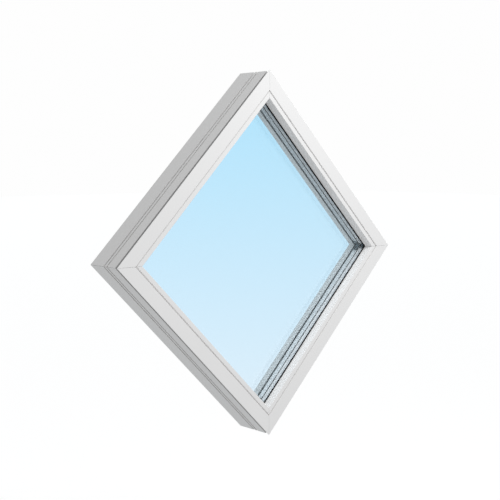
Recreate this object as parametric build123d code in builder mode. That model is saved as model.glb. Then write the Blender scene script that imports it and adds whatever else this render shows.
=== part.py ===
from build123d import *
from math import cos, radians, sin, sqrt
import os

# A square fixed window that stands on one corner, so that its outline is a diamond.
# X runs to the right, Y through the wall towards the room, Z up.
# Every section is drawn with x = inset from the outer edge and y = depth behind the front face.

# Overall sizes
side_length = 680.0
frame_depth = 115.0

# Timber frame member
frame_inset = 1.5
rebate_inset = 39.5
stop_inset = 54.8
stop_depth = 19.5
room_face_inset = 35.0
room_edge = 6.0
room_arris = 2.0
outer_arris = 1.0
stop_arris = 2.0

# Two grooves along the outer side of the frame: depth of the front edge, width, cut
lining_groove_start = 44.0
lining_groove_width = 4.6
seal_groove_start = 55.5
seal_groove_width = 5.5
groove_cut = 9.0

# Aluminium cladding on the front
cladding_face = 36.3
cladding_wall = 1.6
cladding_overhang = 10.0
cladding_stand_off = 12.0
cladding_edge_radius = 0.6

# Aluminium glazing bead
bead_gap = 3.4
bead_face = 11.3
bead_toe_inset = 55.5
bead_wall = 1.6
bead_edge_radius = 1.0
bead_step = 0.4

# V groove between cladding and bead, closed at its bottom by the bead's lip
vee_depth = 5.0
vee_lean = 0.8
lip_clearance = 0.3

# Sealed triple glazing
pane_thickness = 4.0
cavity_width = 16.0
pane_clearance = 5.0
glass_depth = 23.0
sight_line = 54.0
spacer_height = 6.8
spacer_shoulder = 2.4
butyl_film = 0.3
butyl_bleed = 0.4
pane_arris = 0.4

# Gaskets
outer_gasket_thickness = 2.0
outer_gasket_lip = 3.5
inner_gasket_thickness = 2.5
inner_gasket_lip = 0.6
gasket_heel = 2.0
gasket_radius = 0.8

# Setting blocks that carry the glass
block_length = 80.0
block_spacing = 300.0

# Fits
mitre_joint = 0.4
seat_clearance = 0.2

# Sizes that follow from the ones above
pane_edge_inset = rebate_inset + pane_clearance
unit_thickness = 3 * pane_thickness + 2 * cavity_width
stop_front = glass_depth + unit_thickness + inner_gasket_thickness
stop_back = stop_front + stop_depth
bead_outer = cladding_face + bead_gap
bead_inner = bead_outer + bead_face
bead_base = glass_depth - outer_gasket_thickness
gasket_base = pane_edge_inset + gasket_heel
outer_gasket_reach = bead_toe_inset + outer_gasket_lip
inner_gasket_reach = stop_inset + inner_gasket_lip
spacer_base = sight_line - spacer_height

# The origin lies on the outer side of the lower left member, midway along it and
# midway between its rear groove and its room face.
seat_depth = (seal_groove_start + seal_groove_width + frame_depth) / 2
seat_offset = (side_length / 2 - frame_inset) / sqrt(2)
window_centre = Vector(seat_offset, -seat_depth, seat_offset)

inward_y = Vector(0, 1, 0)
sides = {"upper_right": 45, "upper_left": 135, "lower_left": 225, "lower_right": 315}


def outward(bearing):
    return Vector(cos(radians(bearing)), 0, sin(radians(bearing)))


def section_plane(bearing):
    # cuts a side at its middle, with x towards the glass and y towards the room
    out = outward(bearing)
    return Plane(
        origin=window_centre + out * (side_length / 2),
        x_dir=out * -1,
        z_dir=inward_y.cross(out),
    )


def mitre_planes(bearing, joint=mitre_joint):
    # the two planes through the corners, each set back by half the joint
    out = outward(bearing)
    along = inward_y.cross(out)
    for end in (along, along * -1):
        across = (end - out).normalized()
        yield Plane(origin=window_centre - across * (joint / 2), z_dir=across)


def mitred_bar(bearing):
    # runs the pending section along its side and cuts both ends at 45 degrees
    extrude(amount=side_length / 2, both=True)
    for plane in mitre_planes(bearing):
        split(bisect_by=plane, keep=Keep.BOTTOM)


def save(piece, name):
    piece.part.label = name
    export_step(piece.part, f"parts/{name}.step")


def groove(start, width):
    with Locations((frame_inset, start)):
        Rectangle(groove_cut, width, align=(Align.MIN, Align.MIN), mode=Mode.SUBTRACT)


# Timber member: rebate for the glass on the outside, stop behind it, bevelled room side
def make_frame(name, bearing):
    with BuildPart() as member:
        with BuildSketch(section_plane(bearing)):
            with BuildLine():
                Polyline(
                    (frame_inset, cladding_stand_off),
                    (rebate_inset, cladding_stand_off),
                    (rebate_inset, stop_front),
                    (stop_inset, stop_front),
                    (stop_inset, stop_back),
                    (room_face_inset, frame_depth - room_edge),
                    (room_face_inset, frame_depth),
                    (frame_inset, frame_depth),
                    close=True,
                )
            make_face()
            fillet(vertices().group_by(Axis.X)[0], outer_arris)
            fillet(vertices().group_by(Axis.X)[-1].sort_by(Axis.Y)[-1], stop_arris)
            fillet(vertices().group_by(Axis.Y)[-1].sort_by(Axis.X)[-1], room_arris)
            groove(lining_groove_start, lining_groove_width)
            groove(seal_groove_start, seal_groove_width)
        mitred_bar(bearing)
    save(member, name)


# Cladding: a face that overhangs a deep recess, on two legs that stand on the timber
def make_cladding(name, bearing):
    leg = frame_inset + cladding_overhang
    foot = rebate_inset - cladding_face
    with BuildPart() as cladding:
        with BuildSketch(section_plane(bearing)):
            with BuildLine():
                Polyline(
                    (0, 0),
                    (cladding_face, 0),
                    (cladding_face + vee_lean, vee_depth),
                    (cladding_face + vee_lean, cladding_stand_off - cladding_wall),
                    (cladding_face + foot, cladding_stand_off - cladding_wall),
                    (cladding_face + foot, cladding_stand_off),
                    (cladding_face - cladding_wall, cladding_stand_off),
                    (cladding_face - cladding_wall, cladding_wall),
                    (leg + cladding_wall, cladding_wall),
                    (leg + cladding_wall, cladding_stand_off),
                    (leg, cladding_stand_off),
                    (leg, cladding_wall),
                    (0, cladding_wall),
                    close=True,
                )
            make_face()
            fillet(vertices().group_by(Axis.Y)[0], cladding_edge_radius)
        mitred_bar(bearing)
    save(cladding, name)


# Bead: a hollow with a flat face, a splayed reveal and a base that presses the gasket,
# and a lip towards the cladding
def make_bead(name, bearing):
    lip_edge = cladding_face + vee_lean + lip_clearance
    with BuildPart() as bead:
        with BuildSketch(section_plane(bearing)):
            with BuildLine():
                Polyline(
                    (bead_outer, bead_step),
                    (bead_inner, bead_step),
                    (bead_toe_inset, bead_base),
                    (bead_outer, bead_base),
                    close=True,
                )
            make_face()
            offset(amount=-bead_wall, kind=Kind.INTERSECTION, mode=Mode.SUBTRACT)
            with BuildLine():
                Polyline(
                    (bead_outer, bead_step),
                    (lip_edge, vee_depth),
                    (lip_edge, vee_depth + bead_wall),
                    (bead_outer, vee_depth + bead_wall),
                    close=True,
                )
            make_face()
            fillet(vertices().group_by(Axis.Y)[0], bead_edge_radius)
        mitred_bar(bearing)
    save(bead, name)


# Gasket strip: a flat band with rounded edges, from one depth to the next
def make_gasket(name, bearing, reach, start, thickness):
    with BuildPart() as gasket:
        with BuildSketch(section_plane(bearing)):
            with Locations((gasket_base, start)):
                Rectangle(reach - gasket_base, thickness, align=(Align.MIN, Align.MIN))
            fillet(vertices().group_by(Axis.X)[-1], gasket_radius)
        mitred_bar(bearing)
    save(gasket, name)


# Spacer bar: shouldered at its back, where the edge seal goes
def make_spacer(name, bearing, middle):
    half = cavity_width / 2 - butyl_film
    with BuildPart() as spacer:
        with BuildSketch(section_plane(bearing)):
            with BuildLine():
                Polyline(
                    (sight_line, middle - half),
                    (sight_line, middle + half),
                    (spacer_base + spacer_shoulder, middle + half),
                    (spacer_base, middle + half - spacer_shoulder),
                    (spacer_base, middle - half + spacer_shoulder),
                    (spacer_base + spacer_shoulder, middle - half),
                    close=True,
                )
            make_face()
        mitred_bar(bearing)
    save(spacer, name)


# Edge seal: fills from the spacer's back out to the edge of the panes, and its two thin
# films of butyl run up between the spacer and the panes, a little past the spacer
def make_edge_seal(name, bearing, middle):
    half = cavity_width / 2
    shoulder = spacer_shoulder + butyl_film
    film_edge = sight_line + butyl_bleed
    with BuildPart() as seal:
        with BuildSketch(section_plane(bearing)):
            with BuildLine():
                Polyline(
                    (pane_edge_inset, middle - half),
                    (film_edge, middle - half),
                    (film_edge, middle - half + butyl_film),
                    (spacer_base + spacer_shoulder, middle - half + butyl_film),
                    (spacer_base, middle - half + shoulder),
                    (spacer_base, middle + half - shoulder),
                    (spacer_base + spacer_shoulder, middle + half - butyl_film),
                    (film_edge, middle + half - butyl_film),
                    (film_edge, middle + half),
                    (pane_edge_inset, middle + half),
                    close=True,
                )
            make_face()
        mitred_bar(bearing)
    save(seal, name)


# Setting blocks: two flat blocks in the rebate under the glass
def make_setting_blocks(name, bearing):
    middle = glass_depth + unit_thickness / 2
    thickness = pane_clearance - seat_clearance
    with BuildPart() as blocks:
        with Locations(section_plane(bearing)):
            with Locations(
                (rebate_inset + seat_clearance / 2, middle, -block_spacing / 2),
                (rebate_inset + seat_clearance / 2, middle, block_spacing / 2),
            ):
                Box(
                    thickness,
                    unit_thickness,
                    block_length,
                    align=(Align.MIN, Align.CENTER, Align.CENTER),
                )
    save(blocks, name)


# Pane: a square sheet turned on its corner, its arrises ground off
def make_pane(name, depth):
    width = side_length - 2 * pane_edge_inset
    face = Plane(origin=window_centre + inward_y * depth, x_dir=(1, 0, 0), z_dir=(0, 1, 0))
    with BuildPart() as pane:
        with BuildSketch(face):
            Rectangle(width, width, rotation=45)
        extrude(amount=pane_thickness)
        chamfer(edges().filter_by(Axis.Y, reverse=True), pane_arris)
    save(pane, name)


os.makedirs("parts", exist_ok=True)

outer_cavity = glass_depth + pane_thickness + cavity_width / 2
inner_cavity = outer_cavity + pane_thickness + cavity_width

for side, bearing in sides.items():
    make_frame(f"frame_{side}", bearing)
    make_cladding(f"cladding_{side}", bearing)
    make_bead(f"bead_{side}", bearing)
    make_gasket(f"outer_gasket_{side}", bearing, outer_gasket_reach, bead_base, outer_gasket_thickness)
    make_gasket(
        f"inner_gasket_{side}",
        bearing,
        inner_gasket_reach,
        glass_depth + unit_thickness,
        inner_gasket_thickness,
    )
    make_spacer(f"outer_spacer_{side}", bearing, outer_cavity)
    make_spacer(f"inner_spacer_{side}", bearing, inner_cavity)
    make_edge_seal(f"outer_edge_seal_{side}", bearing, outer_cavity)
    make_edge_seal(f"inner_edge_seal_{side}", bearing, inner_cavity)

for side in ("lower_left", "lower_right"):
    make_setting_blocks(f"setting_blocks_{side}", sides[side])

for order, name in enumerate(("outer_pane", "middle_pane", "inner_pane")):
    make_pane(name, glass_depth + order * (pane_thickness + cavity_width))
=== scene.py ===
import math

import bmesh
import bpy
from mathutils import Matrix, Vector


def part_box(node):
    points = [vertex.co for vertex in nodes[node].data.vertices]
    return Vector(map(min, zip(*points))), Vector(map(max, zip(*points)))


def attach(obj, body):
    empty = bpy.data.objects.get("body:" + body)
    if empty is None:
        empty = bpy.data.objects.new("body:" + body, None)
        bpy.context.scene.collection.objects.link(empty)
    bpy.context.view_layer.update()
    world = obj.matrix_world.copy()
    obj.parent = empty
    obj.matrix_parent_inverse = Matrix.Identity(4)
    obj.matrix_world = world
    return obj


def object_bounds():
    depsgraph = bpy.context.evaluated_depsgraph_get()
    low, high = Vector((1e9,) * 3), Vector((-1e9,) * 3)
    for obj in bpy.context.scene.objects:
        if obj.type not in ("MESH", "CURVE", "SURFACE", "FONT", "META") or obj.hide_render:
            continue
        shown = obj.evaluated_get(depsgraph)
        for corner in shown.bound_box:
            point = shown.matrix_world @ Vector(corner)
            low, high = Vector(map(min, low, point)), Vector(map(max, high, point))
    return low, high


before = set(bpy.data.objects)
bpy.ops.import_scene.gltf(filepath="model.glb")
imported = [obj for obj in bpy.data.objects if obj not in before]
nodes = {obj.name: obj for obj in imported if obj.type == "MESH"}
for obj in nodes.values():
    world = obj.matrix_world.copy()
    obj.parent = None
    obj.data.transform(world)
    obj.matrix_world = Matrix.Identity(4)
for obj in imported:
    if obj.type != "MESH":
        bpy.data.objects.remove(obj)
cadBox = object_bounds()
print("frame loaded,", len(nodes), "nodes")

# the window stands on its lower corner, in metres, X right, Y into the room, Z up
sideNames = ("upper_left", "upper_right", "lower_left", "lower_right")
rising = ("upper_left", "lower_right")  # these two run up to the right

boxLow, boxHigh = (Vector(corner) for corner in cadBox)
windowMiddle = (boxLow + boxHigh) / 2
frontCentre = Vector((windowMiddle.x, boxLow.y, windowMiddle.z))
sideLength = (boxHigh.z - boxLow.z) / math.sqrt(2)


# node tree helpers

noiseRange = (0.3, 0.7)  # where nearly all of a noise's values lie


def newMaterial(name):
    material = bpy.data.materials.new(name)
    material.use_nodes = True
    tree = material.node_tree
    return material, tree, tree.nodes["Principled BSDF"]


def addNode(tree, kind, **values):
    node = tree.nodes.new(kind)
    for key, value in values.items():
        setattr(node, key, value)
    return node


def maths(tree, operation, *values):
    node = addNode(tree, "ShaderNodeMath", operation=operation)
    for socket, value in zip(node.inputs, values):
        if isinstance(value, (int, float)):
            socket.default_value = value
        else:
            tree.links.new(value, socket)
    return node.outputs["Value"]


def noise(tree, vector, scale, detail=3.0, roughness=0.5):
    node = addNode(tree, "ShaderNodeTexNoise")
    node.inputs["Scale"].default_value = scale
    node.inputs["Detail"].default_value = detail
    node.inputs["Roughness"].default_value = roughness
    tree.links.new(vector, node.inputs["Vector"])
    return node.outputs["Fac"]


def spread(tree, factor, low, high):
    # maps a noise's usual range onto low to high
    node = addNode(tree, "ShaderNodeMapRange")
    node.inputs["From Min"].default_value = noiseRange[0]
    node.inputs["From Max"].default_value = noiseRange[1]
    node.inputs["To Min"].default_value = low
    node.inputs["To Max"].default_value = high
    tree.links.new(factor, node.inputs["Value"])
    return node.outputs["Result"]


def mixColours(tree, factor, first, second):
    node = addNode(tree, "ShaderNodeMix", data_type="RGBA")
    node.inputs["A"].default_value = (*first, 1)
    node.inputs["B"].default_value = (*second, 1)
    tree.links.new(factor, node.inputs["Factor"])
    return node.outputs["Result"]


def choose(tree, share, first, second):
    # a colour that goes from the first socket to the second as the share goes from 0 to 1
    node = addNode(tree, "ShaderNodeMix", data_type="RGBA")
    tree.links.new(share, node.inputs["Factor"])
    tree.links.new(first, node.inputs["A"])
    tree.links.new(second, node.inputs["B"])
    return node.outputs["Result"]


def bump(tree, height, distance, normal=None):
    node = addNode(tree, "ShaderNodeBump")
    node.inputs["Distance"].default_value = distance
    tree.links.new(height, node.inputs["Height"])
    if normal:
        tree.links.new(normal, node.inputs["Normal"])
    return node.outputs["Normal"]


def objectPlace(tree, turn=0.0, stretch=(1, 1, 1)):
    # place on the object, turned about Y so that X runs along a sloping side
    place = addNode(tree, "ShaderNodeTexCoord").outputs["Object"]
    mapping = addNode(tree, "ShaderNodeMapping")
    mapping.inputs["Rotation"].default_value = (0, turn, 0)
    mapping.inputs["Scale"].default_value = stretch
    tree.links.new(place, mapping.inputs["Vector"])
    return mapping.outputs["Vector"]


def dress(nodeName, material):
    slots = nodes[nodeName].data.materials
    if len(slots):
        for i in range(len(slots)):
            slots[i] = material
    else:
        slots.append(material)


# camera, at the photograph's angle

camera = {
    "azimuth": -42.174,
    "elevation": 5.134,
    "place": (-2.6177, -2.7779, 0.3636),  # from the front's centre, in side lengths
    "focalPixels": 993.7,
    "framePixels": 500,
    "sensor": 36,
    "clipEnd": 200,
}


def placeCamera(v):
    az, el = math.radians(v["azimuth"]), math.radians(v["elevation"])
    back = Vector((math.sin(az) * math.cos(el), -math.cos(az) * math.cos(el), math.sin(el)))
    right = Vector((math.cos(az), math.sin(az), 0))
    up = back.cross(right)
    lens = bpy.data.cameras.new("camera")
    lens.sensor_width = v["sensor"]
    lens.lens = v["sensor"] * v["focalPixels"] / v["framePixels"]
    lens.clip_end = v["clipEnd"]
    body = bpy.data.objects.new("camera", lens)
    bpy.context.scene.collection.objects.link(body)
    turned = Matrix((right, up, back)).transposed().to_4x4()
    body.matrix_world = Matrix.Translation(frontCentre + Vector(v["place"]) * sideLength) @ turned
    bpy.context.scene.camera = body


placeCamera(camera)
print("camera placed")

# studio: pale floor, a soft lamp, even light, and a sky that only shows through the glass

studio = {
    "floorDrop": 0.55,  # floor below the lowest corner
    "floorSize": 60.0,
    "floorColour": (0.20, 0.20, 0.20),
    "floorRoughness": 0.9,
    "floorGlow": 0.82,
    "backdrop": 0.99,
    "evenLight": 0.72,
    "upLight": -0.10,  # more from above if positive, more from below if negative
    "risingLight": 0.30,  # from above in front, and off the ground behind
    "roomLight": 0.35,  # from above on the room side
    "recessLight": 0.96,  # what reveals, spacers and stops get through the panes
    "recessFront": 0.35,  # more of it from the front
    "recessUp": 0.90,  # more of it from above
    "recessTint": (0.99, 1.0, 1.03),
    "mirrorTint": (0.86, 1.0, 1.08),  # of the light that the panes mirror
    "skyHeights": (-0.25, 0.10),  # slopes of sight where the low and the high colour begin
    "skyLow": (0.925, 0.985, 1.055),
    "skyHigh": (0.415, 0.825, 1.055),
}

lamps = {  # place from the front's centre and size in metres, power in watts
    "keyLamp": {"place": (0.6, -1.2, 1.6), "size": 0.8, "power": 23},
}


def makeFloor(v):
    material, tree, shader = newMaterial("studioFloor")
    shader.inputs["Base Color"].default_value = (*v["floorColour"], 1)
    shader.inputs["Roughness"].default_value = v["floorRoughness"]
    shader.inputs["Emission Color"].default_value = (1, 1, 1, 1)
    shader.inputs["Emission Strength"].default_value = v["floorGlow"]
    half = v["floorSize"] / 2
    mesh = bpy.data.meshes.new("studioFloor")
    corners = [(-half, -half, 0), (half, -half, 0), (half, half, 0), (-half, half, 0)]
    mesh.from_pydata(corners, [], [(0, 1, 2, 3)])
    mesh.materials.append(material)
    floor = bpy.data.objects.new("studioFloor", mesh)
    floor.location = (windowMiddle.x, windowMiddle.y, boxLow.z - v["floorDrop"])
    floor.visible_transmission = False  # the sky shows through the panes instead
    floor.visible_diffuse = False
    floor.visible_glossy = False
    bpy.context.scene.collection.objects.link(floor)


def makeWorld(v):
    world = bpy.data.worlds.new("studioWorld")
    bpy.context.scene.world = world
    world.use_nodes = True
    tree = world.node_tree
    tree.nodes.clear()
    towards = addNode(tree, "ShaderNodeSeparateXYZ")
    tree.links.new(addNode(tree, "ShaderNodeTexCoord").outputs["Generated"], towards.inputs["Vector"])
    front = maths(tree, "MULTIPLY", towards.outputs["Y"], -1.0)
    height = towards.outputs["Z"]

    slope = maths(tree, "MULTIPLY_ADD", front, v["risingLight"], v["upLight"])
    room = maths(tree, "MAXIMUM", towards.outputs["Y"], 0.0)
    slope = maths(tree, "MULTIPLY_ADD", room, v["roomLight"], slope)
    ambient = maths(tree, "MULTIPLY_ADD", height, slope, v["evenLight"])
    recessBase = maths(tree, "MULTIPLY_ADD", front, v["recessFront"], v["recessLight"])
    recess = maths(tree, "MULTIPLY_ADD", height, v["recessUp"], recessBase)
    tinted = addNode(tree, "ShaderNodeVectorMath", operation="SCALE")
    tinted.inputs[0].default_value = v["recessTint"]
    tree.links.new(recess, tinted.inputs["Scale"])

    skyShare = addNode(tree, "ShaderNodeMapRange")
    skyShare.inputs["From Min"].default_value = v["skyHeights"][0]
    skyShare.inputs["From Max"].default_value = v["skyHeights"][1]
    tree.links.new(height, skyShare.inputs["Value"])
    sky = mixColours(tree, skyShare.outputs["Result"], v["skyLow"], v["skyHigh"])

    # what the panes mirror is a little blue
    path = addNode(tree, "ShaderNodeLightPath")
    scattered = maths(tree, "GREATER_THAN", path.outputs["Diffuse Depth"], 0.5)
    mirrored = maths(tree, "GREATER_THAN", path.outputs["Glossy Depth"], 0.5)
    mirrorShare = maths(tree, "GREATER_THAN", maths(tree, "SUBTRACT", mirrored, scattered), 0.5)
    mirrorTint = mixColours(tree, mirrorShare, (1, 1, 1), v["mirrorTint"])
    around = addNode(tree, "ShaderNodeVectorMath", operation="SCALE")
    tree.links.new(mirrorTint, around.inputs[0])
    tree.links.new(ambient, around.inputs["Scale"])
    ambient = around.outputs["Vector"]

    # past the panes lies the sky, but what a surface scatters through them meets the recess light
    returned = choose(tree, scattered, ambient, tinted.outputs["Vector"])
    bounces = maths(tree, "ADD", path.outputs["Diffuse Depth"], path.outputs["Glossy Depth"])
    straight = maths(tree, "LESS_THAN", bounces, 0.5)
    behind = choose(tree, straight, returned, sky)
    past = choose(tree, path.outputs["Is Transmission Ray"], ambient, behind)
    seen = addNode(tree, "ShaderNodeMix", data_type="RGBA")
    seen.inputs["B"].default_value = (v["backdrop"], v["backdrop"], v["backdrop"], 1)
    tree.links.new(path.outputs["Is Camera Ray"], seen.inputs["Factor"])
    tree.links.new(past, seen.inputs["A"])
    light = addNode(tree, "ShaderNodeBackground")
    tree.links.new(seen.outputs["Result"], light.inputs["Color"])
    out = addNode(tree, "ShaderNodeOutputWorld")
    tree.links.new(light.outputs["Background"], out.inputs["Surface"])


def addLamp(name, v):
    light = bpy.data.lights.new(name, "AREA")
    light.size = v["size"]
    light.energy = v["power"]
    lamp = bpy.data.objects.new(name, light)
    place = frontCentre + Vector(v["place"])
    aim = (frontCentre - place).to_track_quat("-Z", "Y")
    lamp.matrix_world = Matrix.Translation(place) @ aim.to_matrix().to_4x4()
    lamp.visible_camera = False
    lamp.visible_transmission = False
    lamp.visible_glossy = False
    bpy.context.scene.collection.objects.link(lamp)


makeFloor(studio)
makeWorld(studio)
for lampName, lampValues in lamps.items():
    addLamp(lampName, lampValues)
bpy.context.scene.view_settings.view_transform = "Standard"
bpy.context.scene.cycles.transmission_bounces = 24
bpy.context.scene.cycles.max_bounces = 32
bpy.context.scene.cycles.blur_glossy = 0.0  # keeps the panes sharp for scattered light too
bpy.context.scene.cycles.transparent_max_bounces = 16
print("studio lit")

# white powder coat on the cladding and the beads

coatedAluminium = {
    "colour": (0.803, 0.797, 0.793),
    "colourWorn": (0.774, 0.770, 0.770),
    "patchScale": 9.0,
    "roughness": (0.34, 0.42),
    "peelScale": 900.0,
    "peelDepth": 0.00004,
    "coat": 0.15,
    "coatRoughness": 0.25,
}


def makePowderCoat(v):
    material, tree, shader = newMaterial("coatedAluminium")
    place = objectPlace(tree)
    patches = noise(tree, place, v["patchScale"])
    tree.links.new(mixColours(tree, patches, v["colour"], v["colourWorn"]), shader.inputs["Base Color"])
    fine = noise(tree, place, v["peelScale"], 2.0)
    tree.links.new(spread(tree, patches, *v["roughness"]), shader.inputs["Roughness"])
    tree.links.new(bump(tree, fine, v["peelDepth"]), shader.inputs["Normal"])
    shader.inputs["Coat Weight"].default_value = v["coat"]
    shader.inputs["Coat Roughness"].default_value = v["coatRoughness"]
    return material


powderCoat = makePowderCoat(coatedAluminium)
for sideName in sideNames:
    dress("cladding_" + sideName, powderCoat)
    dress("bead_" + sideName, powderCoat)
print("cladding and beads coated")

# opaque white paint on timber, the grain just showing along each member, with painted shade in the
# recess under the cladding

framePaint = {
    "colour": (0.672, 0.665, 0.661),
    "colourGrain": (0.622, 0.615, 0.611),
    "paintedRecessShade": (0.345, 0.343, 0.343),  # painted shade in the recess under the cladding
    "recessDepth": 0.0122,
    "grainStretch": (3, 160, 160),
    "roughness": (0.48, 0.62),
    "grainDepth": 0.00008,
    "stippleScale": 1400.0,
    "stippleDepth": 0.00003,
}


def makeFramePaint(name, turn, v):
    material, tree, shader = newMaterial(name)
    along = objectPlace(tree, turn, v["grainStretch"])
    grain = noise(tree, along, 1.0, 4.0, 0.6)
    place = objectPlace(tree)
    stipple = noise(tree, place, v["stippleScale"], 2.0)
    painted = mixColours(tree, grain, v["colour"], v["colourGrain"])
    depth = addNode(tree, "ShaderNodeSeparateXYZ")
    tree.links.new(addNode(tree, "ShaderNodeTexCoord").outputs["Object"], depth.inputs["Vector"])
    # painted shade: the paint turns darker within the recess depth behind the cladding
    behind = maths(tree, "LESS_THAN", depth.outputs["Y"], boxLow.y + v["recessDepth"])
    recessShaded = mixColours(tree, behind, v["colour"], v["paintedRecessShade"])
    tree.links.new(painted, recessShaded.node.inputs["A"])
    tree.links.new(recessShaded, shader.inputs["Base Color"])
    tree.links.new(spread(tree, grain, *v["roughness"]), shader.inputs["Roughness"])
    grainNormal = bump(tree, grain, v["grainDepth"])
    tree.links.new(bump(tree, stipple, v["stippleDepth"], grainNormal), shader.inputs["Normal"])
    return material


risingPaint = makeFramePaint("framePaintRising", math.radians(45), framePaint)
fallingPaint = makeFramePaint("framePaintFalling", math.radians(-45), framePaint)
for sideName in sideNames:
    dress("frame_" + sideName, risingPaint if sideName in rising else fallingPaint)
print("frame painted")

# clear float glass

paneGlass = {
    "colour": (0.955, 0.987, 1.0),
    "ior": 1.52,
    "roughness": 0.0,
}


def makeGlass(v):
    material, tree, shader = newMaterial("paneGlass")
    shader.inputs["Base Color"].default_value = (*v["colour"], 1)
    shader.inputs["Transmission Weight"].default_value = 1.0
    shader.inputs["IOR"].default_value = v["ior"]
    shader.inputs["Roughness"].default_value = v["roughness"]
    return material


glass = makeGlass(paneGlass)
for pane in ("outer_pane", "middle_pane", "inner_pane"):
    dress(pane, glass)
print("panes glazed")

# spacer bars: satin metal, drawn lengthwise

spacerMetal = {
    "colour": (0.66, 0.663, 0.666),
    "metal": 0.15,
    "lineStretch": (4, 500, 500),
    "roughness": (0.32, 0.50),
    "lineDepth": 0.00002,
}


def makeSpacerMetal(name, turn, v):
    material, tree, shader = newMaterial(name)
    lines = noise(tree, objectPlace(tree, turn, v["lineStretch"]), 1.0, 2.0)
    shader.inputs["Base Color"].default_value = (*v["colour"], 1)
    shader.inputs["Metallic"].default_value = v["metal"]
    tree.links.new(spread(tree, lines, *v["roughness"]), shader.inputs["Roughness"])
    tree.links.new(bump(tree, lines, v["lineDepth"]), shader.inputs["Normal"])
    return material


risingSpacer = makeSpacerMetal("spacerMetalRising", math.radians(45), spacerMetal)
fallingSpacer = makeSpacerMetal("spacerMetalFalling", math.radians(-45), spacerMetal)
for sideName in sideNames:
    metal = risingSpacer if sideName in rising else fallingSpacer
    dress("outer_spacer_" + sideName, metal)
    dress("inner_spacer_" + sideName, metal)

# dark corner pieces laid over the spacer bars, one in each corner of each cavity

spacerCorner = {
    "sightInset": 0.054,  # from the window's outer edge to the face of the bars
    "leg": {"outer": 0.010, "inner": 0.019},
    "proud": 0.0003,  # above the face of the bars
    "sunk": 0.0008,  # below it
    "width": 0.0150,
    "arris": 0.00012,
    "sharpAngle": 0.5,  # edges that bend more than this are eased
}


def makeSpacerCorner(name, layer, bearing, v):
    # a chevron in X and Z whose point lies in the corner, as thick as the cavity is deep
    low, high = (Vector(corner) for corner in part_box(layer + "_spacer_upper_left"))
    depth = (low.y + high.y) / 2
    out = Vector((math.cos(bearing), 0, math.sin(bearing)))
    along = Vector((-out.z, 0, out.x))
    reach = (sideLength / 2 - v["sightInset"]) * math.sqrt(2)
    corner = Vector((windowMiddle.x, depth, windowMiddle.z)) + out * reach
    legs = [(end - out).normalized() for end in (along, along * -1)]
    shape = bmesh.new()
    rings = []
    for shift in (Vector((0, -v["width"] / 2, 0)), Vector((0, v["width"] / 2, 0))):
        ring = []
        for offset in (v["sunk"], -v["proud"]):
            # the corner itself, moved along its own line, and the two ends of the legs
            point = corner + out * offset * math.sqrt(2)
            ends = []
            for leg in legs:
                normal = Vector((-leg.z, 0, leg.x))
                if normal.dot(out) < 0:
                    normal = -normal
                ends.append(corner + leg * v["leg"][layer] + normal * offset)
            ring.append([ends[0], point, ends[1]])
        outline = ring[0] + ring[1][::-1]
        rings.append([shape.verts.new(place + shift) for place in outline])
    count = len(rings[0])
    for i in range(count):
        j = (i + 1) % count
        shape.faces.new((rings[0][i], rings[0][j], rings[1][j], rings[1][i]))
    for ring, flip in ((rings[0], True), (rings[1], False)):
        for quad in ((0, 1, 4, 5), (1, 2, 3, 4)):
            corners = [ring[i] for i in quad]
            shape.faces.new(corners[::-1] if flip else corners)
    bmesh.ops.recalc_face_normals(shape, faces=shape.faces)
    edges = [edge for edge in shape.edges if edge.calc_face_angle(0) > v["sharpAngle"]]
    bmesh.ops.bevel(shape, geom=edges, offset=v["arris"], segments=1, affect="EDGES")
    mesh = bpy.data.meshes.new(name)
    shape.to_mesh(mesh)
    shape.free()
    piece = bpy.data.objects.new(name, mesh)
    bpy.context.scene.collection.objects.link(piece)
    return piece


# gaskets, edge seals and setting blocks: dull dark rubber and plastic

darkParts = {
    # a bluish near-black colour for the corner pieces
    "spacerCornerDark": {
        "colour": (0.055, 0.078, 0.09), "roughness": (0.45, 0.6),
        "gloss": 0.3, "scale": 900.0, "depth": 0.00003,
    },
    "gasketRubber": {
        "colour": (0.010, 0.010, 0.011), "roughness": (0.6, 0.8),
        "gloss": 0.10, "scale": 1200.0, "depth": 0.00004,
    },
    "edgeSealant": {
        "colour": (0.020, 0.026, 0.031), "roughness": (0.6, 0.8),
        "gloss": 0.15, "scale": 300.0, "depth": 0.0001,
    },
    "blockPlastic": {
        "colour": (0.045, 0.045, 0.05), "roughness": (0.4, 0.5),
        "gloss": 0.5, "scale": 700.0, "depth": 0.00003,
    },
}


def makeDarkPart(name, v):
    material, tree, shader = newMaterial(name)
    grain = noise(tree, objectPlace(tree), v["scale"], 3.0)
    shader.inputs["Base Color"].default_value = (*v["colour"], 1)
    shader.inputs["Specular IOR Level"].default_value = v["gloss"]
    tree.links.new(spread(tree, grain, *v["roughness"]), shader.inputs["Roughness"])
    tree.links.new(bump(tree, grain, v["depth"]), shader.inputs["Normal"])
    return material


dark = {name: makeDarkPart(name, v) for name, v in darkParts.items()}
for sideName in sideNames:
    for layer in ("outer", "inner"):
        dress(f"{layer}_gasket_{sideName}", dark["gasketRubber"])
        dress(f"{layer}_edge_seal_{sideName}", dark["edgeSealant"])
for sideName in ("lower_left", "lower_right"):
    dress("setting_blocks_" + sideName, dark["blockPlastic"])
for layer in ("outer", "inner"):
    for cornerName, bearing in (("right", 0), ("top", 90), ("left", 180), ("bottom", 270)):
        keyName = f"{layer}_spacer_corner_{cornerName}"
        key = makeSpacerCorner(keyName, layer, math.radians(bearing), spacerCorner)
        key.data.materials.append(dark["spacerCornerDark"])
        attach(key, "root")
print("spacers, gaskets and seals finished")
